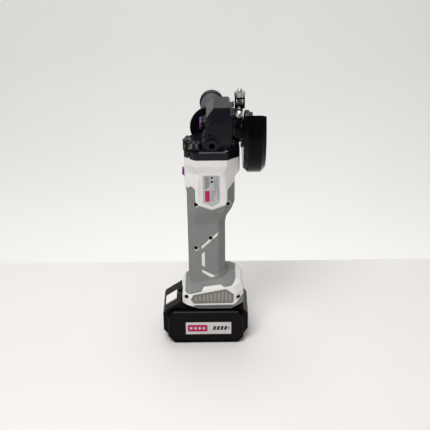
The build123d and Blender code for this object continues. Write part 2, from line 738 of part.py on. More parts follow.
def pinion_tooth():
    """One tooth of the pinion, pointing along +X from the motor axis."""
    faces = []
    for share in (1.0, INNER_SHARE):
        plane = Plane(
            origin=(PINION_R * share, 0, SPINDLE_Z - WHEEL_R * share), x_dir=(1, 0, 0), z_dir=(0, 0, 1)
        )
        faces.append(tooth_section(plane, -1.5 * share, 0.8 * share, 0.7 * share, 0.3 * share))
    with BuildPart() as tooth:
        loft(faces, ruled=True)
    return tooth.part


wheel_points = [(4.6, SPINDLE_R), (4.6, 12.9), (5.2, 13.8), (6.9, 20.3), (8.4, 20.9), (10.4, 20.9)]
wheel_points += [(12.4, 17.0), (13.4, 10.0), (16.0, 9.0), (16.0, SPINDLE_R)]
wheel_pitch = 360 / WHEEL_TEETH

with BuildPart() as bevel_wheel:
    add(turned(wheel_points, SPINDLE_SECTION, AXIS_SPINDLE))
    tooth = wheel_tooth()
    first = -90 + wheel_pitch / 2
    add([tooth.rotate(AXIS_SPINDLE, first + wheel_pitch * n) for n in range(WHEEL_TEETH)])
    lock_hole = along_spindle(LOCK_Y, LOCK_Z, 3, LOCK_PIN_R + 0.3, 6)
    lock_holes = [lock_hole.rotate(AXIS_SPINDLE, 360 / LOCK_HOLES * n) for n in range(LOCK_HOLES)]
    add(lock_holes, mode=Mode.SUBTRACT)
save(bevel_wheel.part, "bevel_wheel")

with BuildPart() as retaining_ring:
    add(ring(spindle_plane(16.0), 8.6, SPINDLE_R, 1.4))
    add(block(15, 19, -2, 2, SPINDLE_Z + 5, SPINDLE_Z + 10), mode=Mode.SUBTRACT)
save(retaining_ring.part, "retaining_ring")

with BuildPart() as inner_flange:
    flange_points = [(FLANGE_X, THREAD_R), (FLANGE_X, 15.0), (45.4, 19.0), (47.6, 19.0), (47.6, 11.1)]
    flange_points += [(49.3, 11.1), (49.3, THREAD_R)]
    add(turned(flange_points, SPINDLE_SECTION, AXIS_SPINDLE))
save(inner_flange.part, "inner_flange")

with BuildPart() as lock_nut:
    nut_r = THREAD_R + RUN_FIT
    nut_points = [(49.8, nut_r), (49.8, 11.5), (47.9, 11.5), (47.9, 19.0), (50.2, 19.0), (52.0, 16.5)]
    nut_points += [(55.6, 16.0), (55.6, nut_r)]
    add(turned(nut_points, SPINDLE_SECTION, AXIS_SPINDLE))
    with BuildSketch(spindle_plane(60)):
        with PolarLocations(13.0, 4, start_angle=45):
            Circle(2.0)
    extrude(amount=-8, mode=Mode.SUBTRACT)
save(lock_nut.part, "lock_nut")

# ---------------------------------------------------------------- motor
with BuildPart() as rotor_shaft:
    shaft_points = [(0, 211.6), (3.4, 211.6), (4, 212.2), (4, 303.2), (2.5, 303.2), (2.5, 316.0)]
    shaft_points.append((0, 316.0))
    add(turned(shaft_points, Plane(origin=(0, 0, 0), x_dir=(1, 0, 0), z_dir=(0, -1, 0)), Axis.Z))
save(rotor_shaft.part, "rotor_shaft")

with BuildPart() as rotor_core:
    add(ring(Plane.XY.offset(STATOR_Z0 - 1), ROTOR_R, 4, STATOR_Z1 - STATOR_Z0 + 2, edge=0.5))
    with BuildSketch(Plane.XY.offset(STATOR_Z1 - 9)):
        with PolarLocations(9.4, 4):
            Rectangle(2.4, 10)
    extrude(amount=12, mode=Mode.SUBTRACT)
save(rotor_core.part, "rotor_core")

with BuildPart() as bevel_pinion:
    pinion_points = [(2.5, 303.2), (5.0, 303.2), (5.0, 307.2), (4.5, 308.3), (3.15, 314.5), (2.5, 314.5)]
    add(turned(pinion_points, Plane(origin=(0, 0, 0), x_dir=(1, 0, 0), z_dir=(0, -1, 0)), Axis.Z))
    tooth = pinion_tooth()
    add([tooth.rotate(Axis.Z, 360 / PINION_TEETH * n) for n in range(PINION_TEETH)])
save(bevel_pinion.part, "bevel_pinion")

FAN_R = 28.0
with BuildPart() as cooling_fan:
    add(ring(Plane.XY.offset(269), 9, 4, 13))
    add(ring(Plane.XY.offset(269), FAN_R, 9, 1.6))
    with BuildSketch(Plane.XY.offset(270)):
        with PolarLocations(19.5, 22):
            Rectangle(15.5, 1.3, rotation=24)
    extrude(amount=9.5)
save(cooling_fan.part, "cooling_fan")

STATOR_TEETH = 6
STACK = STATOR_Z1 - STATOR_Z0
with BuildPart() as stator_core:
    with BuildSketch(Plane.XY.offset(STATOR_Z0)):
        Circle(STATOR_R)
        Circle(21.4, mode=Mode.SUBTRACT)
        with PolarLocations(18.0, STATOR_TEETH):
            Rectangle(8.4, 6.0)
        with PolarLocations(14.1, STATOR_TEETH):
            Rectangle(1.6, 11.0)
        Circle(13.1, mode=Mode.SUBTRACT)
    extrude(amount=STACK)
save(stator_core.part, "stator_core")

with BuildPart() as stator_windings:
    with BuildSketch(Plane.XY.offset(STATOR_Z0 - 3.6)):
        with PolarLocations(18.0, STATOR_TEETH):
            Rectangle(5.4, 10.5)
    extrude(amount=STACK + 7.2)
    with BuildSketch(Plane.XY.offset(STATOR_Z0)):
        with PolarLocations(18.0, STATOR_TEETH):
            Rectangle(8.4, 6.0)
    extrude(amount=STACK, mode=Mode.SUBTRACT)
save(stator_windings.part, "stator_windings")

# ---------------------------------------------------------------- spindle lock
with BuildPart() as lock_button:
    add(along_spindle(LOCK_Y, LOCK_Z, -13.4, 8.45, 4.6))
    chamfer(lock_button.edges().filter_by(GeomType.CIRCLE).sort_by(Axis.X)[0], 0.5)
    add([along_spindle(LOCK_Y, LOCK_Z, -12.2, 6.3, 6)], mode=Mode.SUBTRACT)
save(lock_button.part, "lock_button")

with BuildPart() as lock_button_cap:
    add(along_spindle(LOCK_Y, LOCK_Z, -15.2, 8.0, 1.8))
    fillet(lock_button_cap.edges().filter_by(GeomType.CIRCLE).sort_by(Axis.X)[0], 1.2)
save(lock_button_cap.part, "lock_button_cap")

with BuildPart() as lock_pin:
    add(along_spindle(LOCK_Y, LOCK_Z, -12.2, LOCK_PIN_R, 15.1))
    add(along_spindle(LOCK_Y, LOCK_Z, -12.2, 3.9, 1.0))
save(lock_pin.part, "lock_pin")

with BuildPart() as lock_spring:
    spring_plane = Plane(origin=(-11.1, LOCK_Y, LOCK_Z), x_dir=(0, 1, 0), z_dir=(1, 0, 0))
    add(helix_spring(spring_plane, 3.1, 0.3, 5.8, 2.5))
save(lock_spring.part, "lock_spring")

# ---------------------------------------------------------------- slide switch and electrics
SLIDER_Z0 = 255.4
SLIDER_Z1 = 265.2
SLIDER_Y = 5.2
ROD_X0 = -29.4
with BuildPart() as switch_slider:
    thumb = [(-37.1, SLIDER_Z0), (-40.8, 258.2), (-40.3, SLIDER_Z1), (-37.1, SLIDER_Z1)]
    with BuildSketch(side_plane(SLIDER_Y)):
        with BuildLine():
            Polyline(*thumb, close=True)
        make_face()
    extrude(amount=2 * SLIDER_Y)
    chamfer(switch_slider.faces().sort_by(Axis.X)[0].edges(), 0.6)
    thumb_grooves = [block(-41.2, -40.0, -4, 4, 259.8 + 1.5 * n, 260.5 + 1.5 * n) for n in range(4)]
    add(thumb_grooves, mode=Mode.SUBTRACT)
    add([block(-37.1, ROD_X0, -4, 4, 256, 265), block(-32.1, -30.4, -8, 8, 252, 268)])
save(switch_slider.part, "switch_slider")

with BuildPart() as switch_rod:
    add(block(ROD_X0, ROD_X0 + 1.8, -3, 3, 186, 260))
    add(block(ROD_X0, ROD_X0 + 6, -3, 3, 186, 189))
save(switch_rod.part, "switch_rod")

with BuildPart() as switch_unit:
    add(block(-30.1, -13, -9, 9, 158, 181.5))
    fillet(switch_unit.edges(), 0.8)
    add(block(-27, -23, -2.4, 2.4, 181, 185.6))
    add([block(-28 + 4 * n, -26.6 + 4 * n, -1, 1, 155.6, 159) for n in range(4)])
save(switch_unit.part, "switch_unit")

with BuildPart() as controller_board:
    add(block(-30.1, 13.6, -1, 0.6, 112.5, 146))
    add([block(-22 + 9 * n, -15 + 9 * n, 0.6, 7, 115, 127) for n in range(3)])
    for x in (-18, -6):
        add(rod(Plane(origin=(x, 0.6, 137), x_dir=(1, 0, 0), z_dir=(0, 1, 0)), 4, 9))
save(controller_board.part, "controller_board")

with BuildPart() as terminal_block:
    add(block(-23, 23, -14, 14, FOOT_FLOOR_Z, 82))
    fillet(terminal_block.edges().filter_by(Axis.Z), 2)
    add(block(-19.7, 19.7, -11.7, 11.7, RAIL_TOP_Z + SLIDE_FIT + 0.2, FOOT_FLOOR_Z))
    add([block(-10, 10, y - 0.4, y + 0.4, 62, 80) for y in (-10, -5, 0, 5, 10)], mode=Mode.SUBTRACT)
save(terminal_block.part, "terminal_block")

with BuildPart() as terminal_blades:
    for y in (-10, -5, 0, 5, 10):
        add(block(-10, 10, y - 0.4, y + 0.4, 62.6, 80))
save(terminal_blades.part, "terminal_blades")

# ---------------------------------------------------------------- guard and its clamp
CLAMP_X0 = 31.8
CLAMP_X1 = GUARD_X0
BAND_R = NECK_R + 0.08
BAND_T = 2.6
CLAMP_ANGLE = 120.0        # direction of the clamp's gap, from +Y towards +Z
CLAMP_SCREW_R = 30.0       # distance of the clamp screw from the spindle axis


def clamp_plane(radius):
    """Plane across the clamp screw; its normal runs along the screw towards its head."""
    t = math.radians(CLAMP_ANGLE)
    centre = ((CLAMP_X0 + CLAMP_X1) / 2, radius * math.cos(t), SPINDLE_Z + radius * math.sin(t))
    return Plane(origin=centre, x_dir=(1, 0, 0), z_dir=(0, -math.sin(t), math.cos(t)))


def guard_section():
    """Half-plane through the spindle axis at the start of the guard's arc; local y is the radius."""
    t = math.radians(GUARD_FROM)
    return Plane(
        origin=(0, 0, SPINDLE_Z), x_dir=(1, 0, 0), z_dir=(0, -math.sin(t), math.cos(t))
    )



BEVEL = 6.0
LIP_R = 58.0
RIVET_R = 28.0
RIVET_ANGLES = [165, 207, 249, 291, 333]
guard_profile = [
    (GUARD_X0, BAND_R + 0.1), (GUARD_X0, GUARD_R - BEVEL), (GUARD_X0 + BEVEL, GUARD_R),
    (GUARD_X1 - BEVEL, GUARD_R), (GUARD_X1, GUARD_R - BEVEL), (GUARD_X1, LIP_R),
    (GUARD_X1 - SHEET_T, LIP_R), (GUARD_X1 - SHEET_T, GUARD_R - BEVEL - 0.8),
    (GUARD_X1 - BEVEL - 0.8, GUARD_R - SHEET_T), (GUARD_X0 + BEVEL + 0.8, GUARD_R - SHEET_T),
    (GUARD_X0 + SHEET_T, GUARD_R - BEVEL - 0.8), (GUARD_X0 + SHEET_T, BAND_R + 0.1),
]


def around_spindle(angle, x, radius, size, length):
    """A cylinder along +X at an angle and distance from the spindle axis."""
    t = math.radians(angle)
    return along_spindle(radius * math.cos(t), SPINDLE_Z + radius * math.sin(t), x, size, length)


with BuildPart() as guard:
    with BuildSketch(guard_section()):
        with BuildLine():
            Polyline(*guard_profile, close=True)
        make_face()
    revolve(axis=AXIS_SPINDLE, revolution_arc=GUARD_ARC)
    add([around_spindle(angle, 40, RIVET_R, 1.8, 6) for angle in RIVET_ANGLES], mode=Mode.SUBTRACT)
save(guard.part, "guard")


def clamp_box(r0, r1, t0, t1, x0=CLAMP_X0, x1=CLAMP_X1):
    """A block beside the clamp's gap: r away from the spindle axis, t along the clamp screw."""
    with BuildPart() as solid:
        with BuildSketch(clamp_plane((r0 + r1) / 2).offset(t0)):
            Rectangle(x1 - x0, r1 - r0)
        extrude(amount=t1 - t0)
    return solid.part


EAR_T = 3.5                # from the middle of the gap to an ear's inner face
EAR_NEAR = 6.0
EAR_FAR = 7.5
BRIDGE_Z = 366.8
CHEEK_X0 = 31.6            # bracket that carries the upright stud
CHEEK_X1 = 45.0
CHEEK_T = 2.4
STUD_Y = 2.5
STUD_R = 3.4
stud_x = (CHEEK_X0 + CHEEK_X1) / 2
with BuildPart() as guard_clamp:
    add(ring(spindle_plane(CLAMP_X0), BAND_R + BAND_T, BAND_R, CLAMP_X1 - CLAMP_X0))
    with BuildPart() as rivet_flange:
        with BuildSketch(guard_section()):
            with BuildLine():
                flange_x = CLAMP_X1 - 1.5
                Polyline((flange_x, 23), (flange_x, 31.5), (CLAMP_X1, 31.5), (CLAMP_X1, 23), close=True)
            make_face()
        revolve(axis=AXIS_SPINDLE, revolution_arc=GUARD_ARC)
    add(
        [
            rivet_flange.part,
            clamp_box(23.0, 36.0, EAR_T, EAR_NEAR),
            clamp_box(23.0, 36.0, -EAR_FAR, -EAR_T),
            block(CHEEK_X0, CHEEK_X0 + CHEEK_T, -3.5, 8.5, SPINDLE_Z + 23.0, BRIDGE_Z),
            block(CHEEK_X1 - CHEEK_T, CHEEK_X1, -3.5, 8.5, SPINDLE_Z + 25.0, BRIDGE_Z),
            block(CHEEK_X0, CHEEK_X1, -3.5, 8.5, BRIDGE_Z - 2.2, BRIDGE_Z),
            block(CHEEK_X0, CHEEK_X1, -3.5, 8.5, SPINDLE_Z + 23.0, SPINDLE_Z + 25.4),
        ]
    )
    add(
        [
            clamp_box(20.0, 23.4, -EAR_T, EAR_T),
            clamp_box(23.0, 25.0, -EAR_T, EAR_T),
            rod(clamp_plane(CLAMP_SCREW_R).offset(-EAR_FAR - 1), 2.5, 20),
            rod(Plane(origin=(stud_x, STUD_Y, BRIDGE_Z - 4)), STUD_R, 6),
            rod(Plane(origin=(stud_x, STUD_Y, SPINDLE_Z + 24.2)), STUD_R, 3),
        ]
        + [around_spindle(angle, 38, RIVET_R, 1.8, 6) for angle in RIVET_ANGLES],
        mode=Mode.SUBTRACT,
    )
save(guard_clamp.part, "guard_clamp")

with BuildPart() as clamp_screw:
    add(pan_screw(clamp_plane(CLAMP_SCREW_R).offset(EAR_NEAR), 5.2, 6.4, 2.5, EAR_NEAR + EAR_FAR))
save(clamp_screw.part, "clamp_screw")

with BuildPart() as guard_rivets:
    for angle in RIVET_ANGLES:
        add(around_spindle(angle, CLAMP_X1 - 1.5, RIVET_R, 1.8, 1.5 + SHEET_T))
        head_disc = around_spindle(angle, GUARD_X0 + SHEET_T, RIVET_R, 3.2, 1.1)
        back_disc = around_spindle(angle, CLAMP_X1 - 2.6, RIVET_R, 3.0, 1.1)
        add([head_disc, back_disc])
save(guard_rivets.part, "guard_rivets")

NUT_H = 6.5
STUD_Z0 = SPINDLE_Z + 24.2
STUD_Z1 = 377.0
with BuildPart() as guard_stud:
    add(rod(Plane(origin=(stud_x, STUD_Y, STUD_Z0)), STUD_R, STUD_Z1 - STUD_Z0))
    chamfer(guard_stud.faces().sort_by(Axis.Z)[-1].edges(), 0.8)
save(guard_stud.part, "guard_stud")

with BuildPart() as guard_nut:
    nut_plane = Plane(origin=(stud_x, STUD_Y, BRIDGE_Z))
    add(hexagon(nut_plane, 13.0, STUD_R, NUT_H))
    with BuildSketch(nut_plane):
        Circle(7.2)
    extrude(amount=NUT_H, mode=Mode.INTERSECT)
save(guard_nut.part, "guard_nut")

# ---------------------------------------------------------------- side handle
HANDLE_SECTION = Plane(origin=(HANDLE_X, 0, HANDLE_Z), x_dir=(0, 1, 0), z_dir=(1, 0, 0))
AXIS_HANDLE = Axis((HANDLE_X, 0, HANDLE_Z), (0, 1, 0))
STUD_END_Y = 60.0
STUD_Y0 = 19.5
CORE_R = 10.0
GRIP_Y0 = 41.6
GRIP_Y1 = 143.0
body_points = [(33.8, HANDLE_R - RUN_FIT), (33.8, 6.4), (37.6, 6.4), (37.6, 29.6), (38.4, 30.4)]
body_points += [(40.2, 30.4), (41.0, 29.4), (GRIP_Y0, 17.0), (GRIP_Y0, CORE_R), (GRIP_Y1, CORE_R)]
body_points += [(GRIP_Y1, 17.6), (147.4, 17.6), (HANDLE_END_Y - 0.6, 15.6), (HANDLE_END_Y, 13.0)]
body_points += [(HANDLE_END_Y, 0), (STUD_END_Y, 0), (STUD_END_Y, HANDLE_R - RUN_FIT)]
with BuildPart() as handle_body:
    add(turned(body_points, HANDLE_SECTION, AXIS_HANDLE))
save(handle_body.part, "handle_body")

# grip: soft sleeve with shallow rings, fuller in the middle and at the end
grip_line = [(GRIP_Y0, CORE_R), (GRIP_Y0, 15.4), (43.5, 16.8), (46.5, 16.8)]
RINGS = 16
ring_pitch = (GRIP_Y1 - 5 - 48) / RINGS
for n in range(RINGS):
    y = 48 + ring_pitch * n
    bulk = 15.2 + 1.5 * math.sin(math.pi * (n + 0.5) / RINGS)
    grip_line += [(y, bulk - 1.3), (y + 1.2, bulk - 1.3), (y + 2.1, bulk), (y + ring_pitch - 0.9, bulk)]
grip_line += [(GRIP_Y1 - 5, 15.6), (GRIP_Y1 - 3, 18.0), (GRIP_Y1, 18.0), (GRIP_Y1, CORE_R)]
with BuildPart() as handle_grip:
    add(turned(grip_line, HANDLE_SECTION, AXIS_HANDLE))
save(handle_grip.part, "handle_grip")

with BuildPart() as handle_stud:
    stud_r = HANDLE_R - RUN_FIT
    stud_points = [(STUD_Y0, 0), (STUD_Y0, stud_r - 1.0), (STUD_Y0 + 1, stud_r), (STUD_END_Y, stud_r)]
    stud_points.append((STUD_END_Y, 0))
    add(turned(stud_points, HANDLE_SECTION, AXIS_HANDLE))
save(handle_stud.part, "handle_stud")

# ---------------------------------------------------------------- battery
DECK_Z = 56.7
LATCH_FLOOR_Z = 46.0
LATCH_Y0 = -14.0
LATCH_Y1 = 8.0
BULGE_Y = 30.5
SLOTS_Y = (-10, -5, 0, 5, 10)
BATTERY_SCREWS = [(x, sy * 22.0) for x in (-69.6, 47.2) for sy in (-1, 1)]

PANEL = [
    (-56.9, 0), (36, 0), (BATTERY_X1, 9), (BATTERY_X1, 46), (36, PANEL_Z), (-58.5, PANEL_Z),
    (BATTERY_X0, 46), (BATTERY_X0, 11.8),
]
BULGE_LOW = [
    (BATTERY_X0 + 2, 11), (BATTERY_X0, 11), (-73, 20), (-73, BATTERY_SPLIT_Z), (50.6, BATTERY_SPLIT_Z),
    (50.6, 21), (BATTERY_X1, 11), (BATTERY_X1 - 2, 11),
]
BULGE_HIGH = [
    (-73, BATTERY_SPLIT_Z), (-73, 48), (-70.5, 51.5), (-47, 67.3), (-46.4, 67.3), (-46.4, DECK_Z),
    (BATTERY_X1, DECK_Z), (45.5, 54), (50.6, 46), (50.6, BATTERY_SPLIT_Z),
]
RECESS = [
    (-55.6, 3.2), (34.8, 3.2), (41, 10.2), (41, 45), (34.8, 51), (-57.2, 51), (-63.7, 44.6), (-63.7, 12.9),
]


def pack_body():
    """The outside of the pack in one piece, rails and recesses included."""
    with BuildPart() as solid:
        add(prism(PANEL, y=BATTERY_Y, length=2 * BATTERY_Y))
        chamfer(
            solid.faces().sort_by(Axis.Y)[0].edges() + solid.faces().sort_by(Axis.Y)[-1].edges(), 1.5
        )
        bulges = [prism(outline, y=BULGE_Y, length=2 * BULGE_Y) for outline in (BULGE_LOW, BULGE_HIGH)]
        add(bulges)
        recesses = [prism(RECESS, y=y, length=3) for y in (-BATTERY_Y + 1, BATTERY_Y + 2)]
        add(recesses, mode=Mode.SUBTRACT)
        add(
            [
                block(RAIL_X0, RAIL_X1, -RAIL_NECK_Y, RAIL_NECK_Y, DECK_Z - 2, RAIL_STEP_Z + 0.5),
                block(RAIL_X0, RAIL_X1, -RAIL_HEAD_Y, RAIL_HEAD_Y, RAIL_STEP_Z, RAIL_TOP_Z),
            ]
        )
    return solid.part


pack = pack_body()
with BuildPart() as battery_case_lower:
    add(pack)
    with BuildPart() as low_cuts:
        add(block(-90, 90, -60, 60, BATTERY_SPLIT_Z, 90))
        add([block(-64, 41.3, -35, 35, 2.5, 60), block(-66, 43, -28, 28, 22, 60)])
    add(low_cuts.part, mode=Mode.SUBTRACT)
    add([rod(Plane(origin=(x, y, -5)), 3.1, 21) for x, y in BATTERY_SCREWS], mode=Mode.SUBTRACT)
    add([rod(Plane(origin=(x, y, -5)), SCREW_R, 60) for x, y in BATTERY_SCREWS], mode=Mode.SUBTRACT)
save(battery_case_lower.part, "battery_case_lower")

with BuildPart() as battery_case_upper:
    add(pack)
    with BuildPart() as high_cuts:
        add(block(-90, 90, -60, 60, -10, BATTERY_SPLIT_Z))
        add(
            [
                block(-47.4, 41.3, -35, 35, 40, 51.4),
                block(-64, -40, -35, -16.5, 40, 49),
                block(-64, -40, 22, 35, 40, 49),
                # latch well and the window for its hook
                block(-69.8, -53.2, LATCH_Y0 - 0.4, LATCH_Y1 + 0.4, LATCH_FLOOR_Z, 80),
                block(-53.6, -33.0, -6.3, 6.3, 56.0, 75),
            ]
            + [block(-12, RAIL_X1 + 1, y - 1, y + 1, 51, RAIL_TOP_Z + 1) for y in SLOTS_Y]
            + [block(-9.3, 3.3, y - 1.4, y + 1.4, 51, 62.3) for y in SLOTS_Y]
        )
    add(high_cuts.part, mode=Mode.SUBTRACT)
    add([rod(Plane(origin=(x, y, 40)), SCREW_R, 8) for x, y in BATTERY_SCREWS], mode=Mode.SUBTRACT)
save(battery_case_upper.part, "battery_case_upper")

with BuildPart() as battery_screws:
    for x, y in BATTERY_SCREWS:
        seat_plane = Plane(origin=(x, y, 16.0), x_dir=(1, 0, 0), z_dir=(0, 0, -1))
        add(pan_screw(seat_plane, HEAD_R, 2.4, SCREW_R, 31))
save(battery_screws.part, "battery_screws")

CELL_X = [-50.0 + 19.6 * n for n in range(5)]
CELL_Z = (13.3, 32.9)
with BuildPart() as battery_cells:
    for x in CELL_X:
        for z in CELL_Z:
            add(across(x, z, CELL_D / 2, CELL_L / 2, CELL_L))
save(battery_cells.part, "battery_cells")

with BuildPart() as cell_holder:
    for y in (-28, 24):
        add(block(-62, 40, y, y + 4, 2.5, 43))
    add([across(x, z, CELL_D / 2 + 0.1, 34, 68) for x in CELL_X for z in CELL_Z], mode=Mode.SUBTRACT)
    add([block(-62, 40, 24, 28, 42.4, 46), block(-62, 40, -28, -24, 42.4, 46)])
save(cell_holder.part, "cell_holder")

with BuildPart() as battery_board:
    add(block(-45, 25, -28, 28, 46, 47.6))
    add([block(-40 + 12 * n, -32 + 12 * n, 14, 20, 47.6, 49.6) for n in range(5)])
save(battery_board.part, "battery_board")

with BuildPart() as battery_contacts:
    for y in SLOTS_Y:
        add([block(-9, 3, y - 1.2, y - 0.5, 47.6, 62), block(-9, 3, y + 0.5, y + 1.2, 47.6, 62)])
save(battery_contacts.part, "battery_contacts")

with BuildPart() as battery_label:
    add(block(-40.3, 26, -BATTERY_Y + 0.6, -BATTERY_Y + 1, 15.1, 35.4))
save(battery_label.part, "battery_label")

LATCH = [(-69.5, 51.2), (-69.5, 53.6), (-53.5, 64.4), (-53.5, 59.8), (-66, 51.2)]
LATCH_SPRING = (-58.0, -3.0)
LATCH_PAD_Z = 54.2
with BuildPart() as battery_latch:
    with BuildSketch(side_plane(LATCH_Y1)):
        with BuildLine():
            Polyline(*LATCH, close=True)
        make_face()
    extrude(amount=LATCH_Y1 - LATCH_Y0)
    spring_pad = [
        rod(Plane(origin=LATCH_SPRING + (LATCH_PAD_Z,)), 4.0, 4),
        rod(Plane(origin=LATCH_SPRING + (LATCH_PAD_Z - 1.5,)), 2.4, 4),
    ]
    hook = [
        block(-55, HOOK_X1, -6, 6, 60.4, 63.2),
        block(HOOK_X0, HOOK_X1, -HOOK_Y, HOOK_Y, 60.4, HOOK_TOP_Z),
    ]
    add(spring_pad + hook)
save(battery_latch.part, "battery_latch")

with BuildPart() as latch_spring:
    spring_length = LATCH_PAD_Z - LATCH_FLOOR_Z
    add(helix_spring(Plane(origin=LATCH_SPRING + (LATCH_FLOOR_Z,)), 3.1, 0.4, spring_length, 3.5))
save(latch_spring.part, "latch_spring")
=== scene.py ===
import json
import math

import bmesh
import bpy
from mathutils import Matrix, Vector


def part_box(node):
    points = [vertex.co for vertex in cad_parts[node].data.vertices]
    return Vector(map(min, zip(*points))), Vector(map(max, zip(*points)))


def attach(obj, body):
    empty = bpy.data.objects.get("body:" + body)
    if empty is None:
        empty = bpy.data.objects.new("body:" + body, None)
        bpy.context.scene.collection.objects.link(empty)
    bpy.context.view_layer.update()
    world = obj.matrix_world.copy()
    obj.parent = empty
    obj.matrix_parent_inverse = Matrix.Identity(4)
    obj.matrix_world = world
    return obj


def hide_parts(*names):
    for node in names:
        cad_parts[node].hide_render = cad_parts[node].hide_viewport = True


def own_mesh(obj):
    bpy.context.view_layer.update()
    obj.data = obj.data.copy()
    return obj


# Looks, small trim, stage and camera of the cordless angle grinder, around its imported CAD.
# +X points to the guard, -Y to the camera and +Z from the pack to the head. The pieces are
# given in millimetres; the stage, the lamps and the camera in metres.
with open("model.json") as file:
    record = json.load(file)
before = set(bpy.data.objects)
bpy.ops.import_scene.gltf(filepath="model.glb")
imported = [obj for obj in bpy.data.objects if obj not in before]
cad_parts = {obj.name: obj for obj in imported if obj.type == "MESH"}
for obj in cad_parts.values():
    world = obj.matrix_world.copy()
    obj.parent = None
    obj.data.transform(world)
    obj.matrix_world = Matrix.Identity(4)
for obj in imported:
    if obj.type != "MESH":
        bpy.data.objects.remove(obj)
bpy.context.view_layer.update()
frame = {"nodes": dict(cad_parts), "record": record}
nodes = frame["nodes"]
MM = 0.001


# ---------------------------------------------------------------- shader nodes
def tone(r, g, b):
    """A colour given as 0 to 255 screen values, as the linear colour a shader takes."""
    out = []
    for v in (r, g, b):
        v = v / 255
        out.append(v / 12.92 if v <= 0.04045 else ((v + 0.055) / 1.055) ** 2.4)
    return (*out, 1.0)


def node_of(nt, kind):
    """The first node of a kind in a tree."""
    return next(n for n in nt.nodes if n.bl_idname == kind)


def object_place(nt):
    """The object coordinates that a finish is laid out on."""
    return node_of(nt, "ShaderNodeTexCoord").outputs["Object"]


def along_axis(nt, vector, axis):
    """One coordinate of a vector: X, Y or Z."""
    split = nt.nodes.new("ShaderNodeSeparateXYZ")
    nt.links.new(vector, split.inputs["Vector"])
    return split.outputs[axis]


def noise(nt, place, scale, detail):
    """Noise between 0 and 1."""
    texture = nt.nodes.new("ShaderNodeTexNoise")
    texture.inputs["Scale"].default_value = scale
    texture.inputs["Detail"].default_value = detail
    nt.links.new(place, texture.inputs["Vector"])
    return texture.outputs["Fac"]


def mapped(nt, value, low, high, to_low=0.0, to_high=1.0, clamp=True):
    """A value, with low to high carried to to_low to to_high."""
    node = nt.nodes.new("ShaderNodeMapRange")
    node.clamp = clamp
    node.inputs["From Min"].default_value = low
    node.inputs["From Max"].default_value = high
    node.inputs["To Min"].default_value = to_low
    node.inputs["To Max"].default_value = to_high
    nt.links.new(value, node.inputs["Value"])
    return node.outputs["Result"]


def worked(nt, operation, value, other=None):
    """One operation on a value, with a constant where it takes two."""
    node = nt.nodes.new("ShaderNodeMath")
    node.operation = operation
    nt.links.new(value, node.inputs[0])
    if other is not None:
        node.inputs[1].default_value = other
    return node.outputs["Value"]


def paint_over(nt, factor, colour):
    """Mixes a colour over a finish's own colour, by factor."""
    base = node_of(nt, "ShaderNodeBsdfPrincipled").inputs["Base Color"]
    under = base.links[0].from_socket
    mix = nt.nodes.new("ShaderNodeMix")
    mix.data_type = "RGBA"
    mix.inputs["B"].default_value = colour
    nt.links.new(factor, mix.inputs["Factor"])
    nt.links.new(under, mix.inputs["A"])
    nt.links.new(mix.outputs["Result"], base)


# ---------------------------------------------------------------- materials
ROUGH_VARY = 0.07          # how far the fine grain moves the roughness, either way
ROUGH_MIN = 0.03
GRAIN_DETAIL, GRAIN_SPREAD = 3.0, (0.3, 0.7)
PATCH_DETAIL, PATCH_SPREAD = 5.0, (0.32, 0.68)
SCRATCH_DISTORTION, SCRATCH_DETAIL = 6.0, 3.0
DUST_SCALE, DUST_DETAIL = 420.0, 8.0
DUST_SPREAD = (0.58, 0.75)  # noise where dust begins, and where it is thickest
DUST_TONE = tone(150, 148, 144)


def surface(name, colour, rough, vary=0.10, patch=45.0, grain=1500.0, bump=0.10, depth=0.00005,
            metallic=0.0, scratches=0.0, dust=0.0, specular=0.5):
    """A procedural finish: colour patches, fine grain in the roughness, and a bump."""
    m = bpy.data.materials.new(name)
    m.use_nodes = True
    nt = m.node_tree
    nt.nodes.clear()
    link = nt.links.new
    out = nt.nodes.new("ShaderNodeOutputMaterial")
    bsdf = nt.nodes.new("ShaderNodeBsdfPrincipled")
    link(bsdf.outputs["BSDF"], out.inputs["Surface"])
    place = nt.nodes.new("ShaderNodeTexCoord").outputs["Object"]
    fine = noise(nt, place, grain, GRAIN_DETAIL)

    patches = nt.nodes.new("ShaderNodeValToRGB")
    low, high = patches.color_ramp.elements
    low.position, high.position = PATCH_SPREAD
    low.color = (*[c * (1 - vary) for c in colour[:3]], 1.0)
    high.color = (*[min(1.0, c * (1 + vary)) for c in colour[:3]], 1.0)
    link(noise(nt, place, patch, PATCH_DETAIL), patches.inputs["Fac"])
    link(patches.outputs["Color"], bsdf.inputs["Base Color"])
    if dust:
        specks = noise(nt, place, DUST_SCALE, DUST_DETAIL)
        paint_over(nt, mapped(nt, specks, *DUST_SPREAD, to_high=dust), DUST_TONE)

    least, most = max(ROUGH_MIN, rough - ROUGH_VARY), min(1.0, rough + ROUGH_VARY)
    link(mapped(nt, fine, *GRAIN_SPREAD, least, most), bsdf.inputs["Roughness"])

    height = fine
    if scratches:
        wave = nt.nodes.new("ShaderNodeTexWave")
        wave.inputs["Scale"].default_value = scratches
        wave.inputs["Distortion"].default_value = SCRATCH_DISTORTION
        wave.inputs["Detail"].default_value = SCRATCH_DETAIL
        link(place, wave.inputs["Vector"])
        height = wave.outputs["Fac"]
    relief = nt.nodes.new("ShaderNodeBump")
    relief.inputs["Strength"].default_value = bump
    relief.inputs["Distance"].default_value = depth
    link(height, relief.inputs["Height"])
    link(relief.outputs["Normal"], bsdf.inputs["Normal"])
    bsdf.inputs["Metallic"].default_value = metallic
    bsdf.inputs["Specular IOR Level"].default_value = specular
    return m


LATCH_ARM_X = -53.3        # the latch's pale button ends and its black arm begins here


